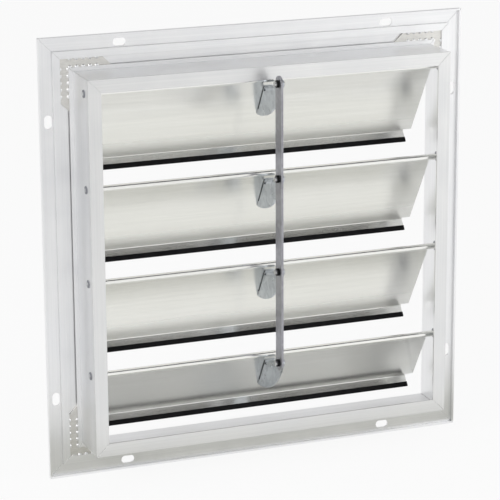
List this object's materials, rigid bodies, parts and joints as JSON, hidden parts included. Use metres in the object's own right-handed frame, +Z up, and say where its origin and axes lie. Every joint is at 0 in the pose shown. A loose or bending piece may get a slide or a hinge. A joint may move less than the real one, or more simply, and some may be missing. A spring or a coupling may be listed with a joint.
{
  "type": "exhaust fan shutter",
  "caption": "Gravity exhaust fan shutter: square flanged aluminium frame with hinged sealed blades joined by a tie bar, shown partly open.",
  "frame": {"origin": "middle of the opening, in the face of the flange that bears on the wall", "axes": "+X across the opening to the right as seen from the fan, +Y the way the air leaves, +Z up"},
  "size_m": [0.362, 0.0778, 0.362],
  "materials": {
    "frame": "mill-finish extrusion",
    "corner_key": "plain stamped steel",
    "blade": "satin rolled sheet",
    "seal": "soft black vinyl",
    "pivot_pin": "plated",
    "bush": "black nylon",
    "bracket": "galvanised",
    "rivet": "bright",
    "tie_bar": "galvanised, dull",
    "link_pin": "plated",
    "link_retainer": "black nylon"
  },
  "bodies": {
    "frame": {"top_rail": "frame", "bottom_rail": "frame", "left_rail": "frame", "right_rail": "frame", "corner_key_top_left": "corner_key", "corner_key_bottom_left": "corner_key", "corner_key_top_right": "corner_key", "corner_key_bottom_right": "corner_key", "pivot_bush_left_1": "bush", "pivot_bush_right_1": "bush", "pivot_bush_left_2": "bush", "pivot_bush_right_2": "bush", "pivot_bush_left_3": "bush", "pivot_bush_right_3": "bush", "pivot_bush_left_4": "bush", "pivot_bush_right_4": "bush"},
    "blade_1": {"blade_1": "blade", "blade_seal_1": "seal", "link_bracket_1": "bracket", "bracket_rivets_1": "rivet", "pivot_pin_left_1": "pivot_pin", "pivot_pin_right_1": "pivot_pin", "link_pin_1": "link_pin", "link_retainer_1": "link_retainer"},
    "blade_2": {"blade_2": "blade", "blade_seal_2": "seal", "link_bracket_2": "bracket", "bracket_rivets_2": "rivet", "pivot_pin_left_2": "pivot_pin", "pivot_pin_right_2": "pivot_pin", "link_pin_2": "link_pin", "link_retainer_2": "link_retainer"},
    "blade_3": {"blade_3": "blade", "blade_seal_3": "seal", "link_bracket_3": "bracket", "bracket_rivets_3": "rivet", "pivot_pin_left_3": "pivot_pin", "pivot_pin_right_3": "pivot_pin", "link_pin_3": "link_pin", "link_retainer_3": "link_retainer"},
    "blade_4": {"blade_4": "blade", "blade_seal_4": "seal", "link_bracket_4": "bracket", "bracket_rivets_4": "rivet", "pivot_pin_left_4": "pivot_pin", "pivot_pin_right_4": "pivot_pin", "link_pin_4": "link_pin", "link_retainer_4": "link_retainer"},
    "tie_bar": {"tie_bar": "tie_bar"}
  },
  "joints": [
    {"name": "blade_1_swing", "type": "hinge", "parent": "frame", "child": "blade_1", "pos_m": [0, -0.0273, 0.1409], "axis": [1, 0, 0], "range_deg": [-23.2, 50]},
    {"name": "blade_2_swing", "type": "hinge", "parent": "frame", "child": "blade_2", "pos_m": [0, -0.0273, 0.0647], "axis": [1, 0, 0], "range_deg": [-23.2, 50]},
    {"name": "blade_3_swing", "type": "hinge", "parent": "frame", "child": "blade_3", "pos_m": [0, -0.0273, -0.0115], "axis": [1, 0, 0], "range_deg": [-23.2, 50]},
    {"name": "blade_4_swing", "type": "hinge", "parent": "frame", "child": "blade_4", "pos_m": [0, -0.0273, -0.0877], "axis": [1, 0, 0], "range_deg": [-23.2, 50]},
    {"name": "tie_bar_pivot", "type": "hinge", "parent": "blade_1", "child": "tie_bar", "pos_m": [0, -0.0578, 0.1429], "axis": [1, 0, 0], "range_deg": [-50, 23.2]}
  ],
  "couplings": [
    {"joint": "blade_2_swing", "follows": "blade_1_swing", "ratio": 1},
    {"joint": "blade_3_swing", "follows": "blade_1_swing", "ratio": 1},
    {"joint": "blade_4_swing", "follows": "blade_1_swing", "ratio": 1},
    {"joint": "tie_bar_pivot", "follows": "blade_1_swing", "ratio": -1}
  ]
}
